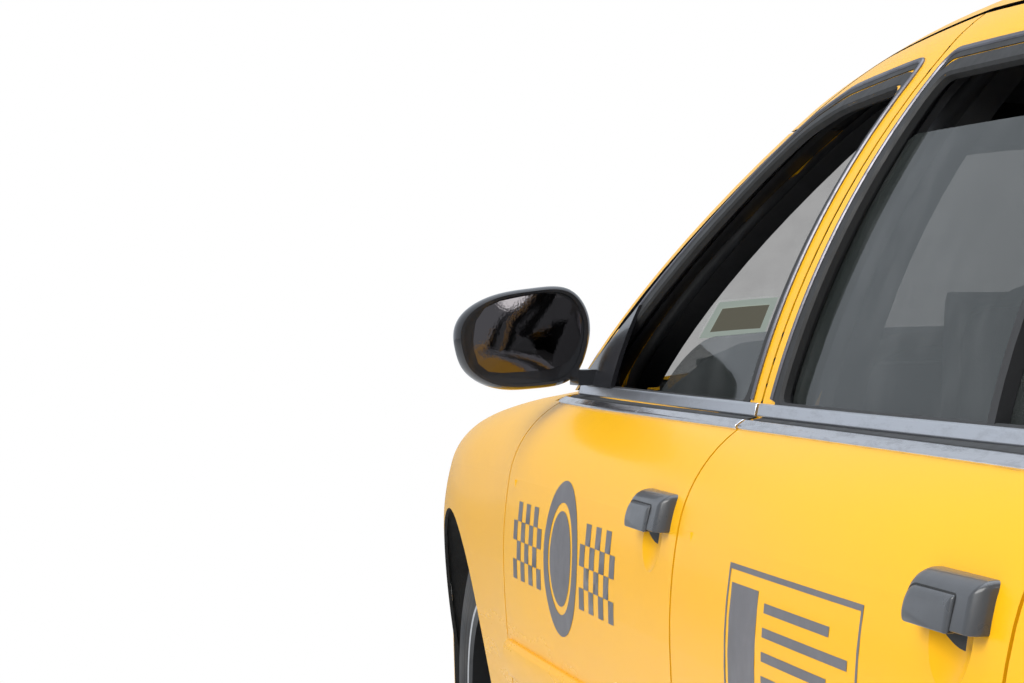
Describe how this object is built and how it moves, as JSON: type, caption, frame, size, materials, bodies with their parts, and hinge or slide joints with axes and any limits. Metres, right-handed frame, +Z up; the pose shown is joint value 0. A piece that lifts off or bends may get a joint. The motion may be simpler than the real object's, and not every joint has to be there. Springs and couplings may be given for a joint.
{
  "type": "taxi sedan",
  "caption": "Full-size sedan taxi on a separate frame, with hinged doors, hood and boot lid, steered and turning wheels, and a roof light.",
  "frame": {"origin": "on the floor, in the middle of the car's length and width", "axes": "+X forward along the car, +Y to the car's left, +Z up"},
  "size_m": [5.385, 2.1326, 1.6219],
  "materials": {
    "paint": "gloss",
    "frame_black": "satin",
    "glass": "gloss",
    "lamp_clear": "gloss",
    "lamp_red": "gloss",
    "tyre": "matte",
    "wheel_steel": "satin",
    "chrome": "gloss",
    "black_plastic": "gloss",
    "seat_vinyl": "satin",
    "dash_plastic": "matte",
    "cast_metal": "matte",
    "exhaust_steel": "satin",
    "light_plastic": "gloss"
  },
  "bodies": {
    "body": {"floor_pan": "frame_black", "boot_tub": "frame_black", "firewall": "frame_black", "roof_panel": "paint", "cowl_panel": "black_plastic", "nose_panel": "paint", "windscreen": "glass", "rear_window": "glass", "front_bumper": "paint", "rear_bumper": "paint", "grille": "chrome", "roof_light": "light_plastic", "chassis_frame": "frame_black", "front_suspension": "cast_metal", "rear_axle": "cast_metal", "exhaust": "exhaust_steel", "fuel_tank": "frame_black", "engine_block": "cast_metal", "front_seats": "seat_vinyl", "rear_seat": "seat_vinyl", "dashboard": "dash_plastic", "body_side_left": "paint", "fender_left": "paint", "headlamp_left": "lamp_clear", "tail_lamp_left": "lamp_red", "body_side_right": "paint", "fender_right": "paint", "headlamp_right": "lamp_clear", "tail_lamp_right": "lamp_red"},
    "door_front_left": {"door_front_left": "paint", "glass_front_left": "glass", "handle_front_left": "black_plastic", "mirror_left": "black_plastic"},
    "door_rear_left": {"door_rear_left": "paint", "glass_rear_left": "glass", "handle_rear_left": "black_plastic"},
    "knuckle_left": {"knuckle_left": "cast_metal"},
    "door_front_right": {"door_front_right": "paint", "glass_front_right": "glass", "handle_front_right": "black_plastic", "mirror_right": "black_plastic"},
    "door_rear_right": {"door_rear_right": "paint", "glass_rear_right": "glass", "handle_rear_right": "black_plastic"},
    "knuckle_right": {"knuckle_right": "cast_metal"},
    "hood": {"hood": "paint"},
    "trunk_lid": {"trunk_lid": "paint"},
    "steering_wheel": {"steering_wheel": "dash_plastic"},
    "wheel_front_left": {"tyre_front_left": "tyre", "rim_front_left": "wheel_steel"},
    "wheel_front_right": {"tyre_front_right": "tyre", "rim_front_right": "wheel_steel"},
    "wheel_rear_left": {"tyre_rear_left": "tyre", "rim_rear_left": "wheel_steel"},
    "wheel_rear_right": {"tyre_rear_right": "tyre", "rim_rear_right": "wheel_steel"}
  },
  "joints": [
    {"name": "door_front_left_hinge", "type": "hinge", "parent": "body", "child": "door_front_left", "pos_m": [0.9425, 0.971, 0.63], "axis": [0, 0, -1], "range_deg": [0, 68]},
    {"name": "door_rear_left_hinge", "type": "hinge", "parent": "body", "child": "door_rear_left", "pos_m": [-0.1265, 0.971, 0.63], "axis": [0, 0, -1], "range_deg": [0, 68]},
    {"name": "door_front_right_hinge", "type": "hinge", "parent": "body", "child": "door_front_right", "pos_m": [0.9425, -0.971, 0.63], "axis": [0, 0, 1], "range_deg": [0, 68]},
    {"name": "door_rear_right_hinge", "type": "hinge", "parent": "body", "child": "door_rear_right", "pos_m": [-0.1265, -0.971, 0.63], "axis": [0, 0, 1], "range_deg": [0, 68]},
    {"name": "hood_hinge", "type": "hinge", "parent": "body", "child": "hood", "pos_m": [1.318, 0, 0.944], "axis": [0, -1, 0], "range_deg": [0, 50]},
    {"name": "trunk_hinge", "type": "hinge", "parent": "body", "child": "trunk_lid", "pos_m": [-1.53, 0, 1.02], "axis": [0, 1, 0], "range_deg": [0, 75]},
    {"name": "steer_left", "type": "hinge", "parent": "body", "child": "knuckle_left", "pos_m": [1.61, 0.74, 0.338], "axis": [0, 0, 1], "range_deg": [-32, 32]},
    {"name": "steer_right", "type": "hinge", "parent": "body", "child": "knuckle_right", "pos_m": [1.61, -0.74, 0.338], "axis": [0, 0, 1], "range_deg": [-32, 32]},
    {"name": "steering_wheel_turn", "type": "hinge", "parent": "body", "child": "steering_wheel", "pos_m": [0.56, 0.395, 0.85], "axis": [-0.9135, 0, 0.4067], "range_deg": [-480, 480]},
    {"name": "wheel_front_left_spin", "type": "hinge", "parent": "knuckle_left", "child": "wheel_front_left", "pos_m": [1.61, 0.805, 0.338], "axis": [0, 1, 0], "continuous": true},
    {"name": "wheel_front_right_spin", "type": "hinge", "parent": "knuckle_right", "child": "wheel_front_right", "pos_m": [1.61, -0.805, 0.338], "axis": [0, 1, 0], "continuous": true},
    {"name": "wheel_rear_left_spin", "type": "hinge", "parent": "body", "child": "wheel_rear_left", "pos_m": [-1.303, 0.833, 0.338], "axis": [0, 1, 0], "continuous": true},
    {"name": "wheel_rear_right_spin", "type": "hinge", "parent": "body", "child": "wheel_rear_right", "pos_m": [-1.303, -0.833, 0.338], "axis": [0, 1, 0], "continuous": true}
  ],
  "couplings": [
    {"joint": "steer_right", "follows": "steer_left", "ratio": 1},
    {"joint": "steering_wheel_turn", "follows": "steer_left", "ratio": 15}
  ]
}
